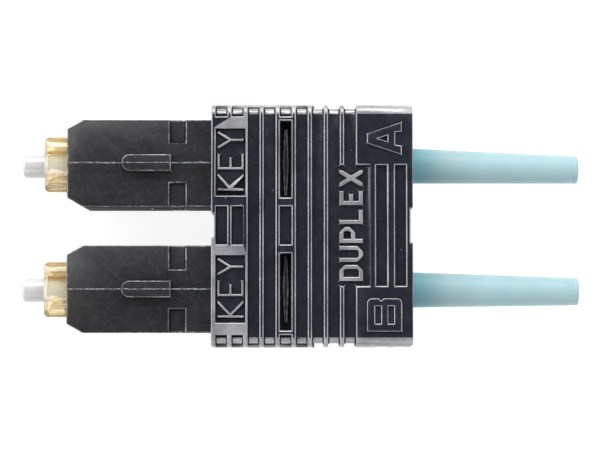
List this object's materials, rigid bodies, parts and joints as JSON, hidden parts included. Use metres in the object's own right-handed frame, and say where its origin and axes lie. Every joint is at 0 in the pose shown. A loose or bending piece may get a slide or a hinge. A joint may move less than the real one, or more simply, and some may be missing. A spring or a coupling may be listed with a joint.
{
  "type": "duplex fiber optic connector",
  "caption": "Duplex push-pull fiber optic connector end of a patch cord: ribbed clip holding keyed plugs with sprung ferrules, cam splices and tapered strain-relief boots.",
  "frame": {"origin": "centre of the box that bounds the part, on the clip's underside", "axes": "+X from the ferrule tips to the boots, +Y from connector B to connector A, +Z the key side"},
  "size_m": [0.0568, 0.0244, 0.0106],
  "materials": {
    "clip_plastic": "moulded, glossy navy black",
    "housing_plastic": "moulded, satin charcoal",
    "frame_resin": "clear amber resin",
    "ceramic": "ground and polished zirconia",
    "holder_metal": "turned nickel-plated",
    "fibre_glass": "drawn silica",
    "splice_resin": "moulded natural",
    "cam_plastic": "moulded off-white",
    "spring_steel": "drawn wire, bright",
    "backbone_plastic": "moulded black",
    "post_metal": "turned, knurled",
    "crimp_metal": "drawn, satin",
    "boot_rubber": "moulded aqua elastomer"
  },
  "bodies": {
    "clip_body": {"clip_upper": "clip_plastic", "clip_lower": "clip_plastic", "outer_housing_a": "housing_plastic", "outer_housing_b": "housing_plastic"},
    "plug_a": {"plug_frame_a": "frame_resin", "backbone_a": "backbone_plastic", "rear_post_a": "post_metal", "crimp_sleeve_a": "crimp_metal", "strain_relief_boot_a": "boot_rubber", "ferrule_spring_a": "spring_steel"},
    "ferrule_unit_a": {"ferrule_a": "ceramic", "ferrule_holder_a": "holder_metal", "fibre_stub_a": "fibre_glass", "splice_plank_upper_a": "splice_resin", "splice_plank_lower_a": "splice_resin", "lead_in_tube_a": "splice_resin"},
    "cam_a": {"splice_cam_a": "cam_plastic"},
    "plug_b": {"plug_frame_b": "frame_resin", "backbone_b": "backbone_plastic", "rear_post_b": "post_metal", "crimp_sleeve_b": "crimp_metal", "strain_relief_boot_b": "boot_rubber", "ferrule_spring_b": "spring_steel"},
    "ferrule_unit_b": {"ferrule_b": "ceramic", "ferrule_holder_b": "holder_metal", "fibre_stub_b": "fibre_glass", "splice_plank_upper_b": "splice_resin", "splice_plank_lower_b": "splice_resin", "lead_in_tube_b": "splice_resin"},
    "cam_b": {"splice_cam_b": "cam_plastic"}
  },
  "joints": [
    {"name": "plug_slide_a", "type": "slide", "parent": "clip_body", "child": "plug_a", "axis": [1, 0, 0], "range_m": [0, 0.0015]},
    {"name": "ferrule_press_a", "type": "slide", "parent": "plug_a", "child": "ferrule_unit_a", "axis": [1, 0, 0], "range_m": [0, 0.001], "stiffness_N_per_m": 2500, "deforming": ["ferrule_spring_a"]},
    {"name": "cam_turn_a", "type": "hinge", "parent": "ferrule_unit_a", "child": "cam_a", "pos_m": [-0.00535, 0.00635, 0.0052], "axis": [1, 0, 0], "range_deg": [0, 90]},
    {"name": "plug_slide_b", "type": "slide", "parent": "clip_body", "child": "plug_b", "axis": [1, 0, 0], "range_m": [0, 0.0015]},
    {"name": "ferrule_press_b", "type": "slide", "parent": "plug_b", "child": "ferrule_unit_b", "axis": [1, 0, 0], "range_m": [0, 0.001], "stiffness_N_per_m": 2500, "deforming": ["ferrule_spring_b"]},
    {"name": "cam_turn_b", "type": "hinge", "parent": "ferrule_unit_b", "child": "cam_b", "pos_m": [-0.00535, -0.00635, 0.0052], "axis": [1, 0, 0], "range_deg": [0, 90]}
  ]
}
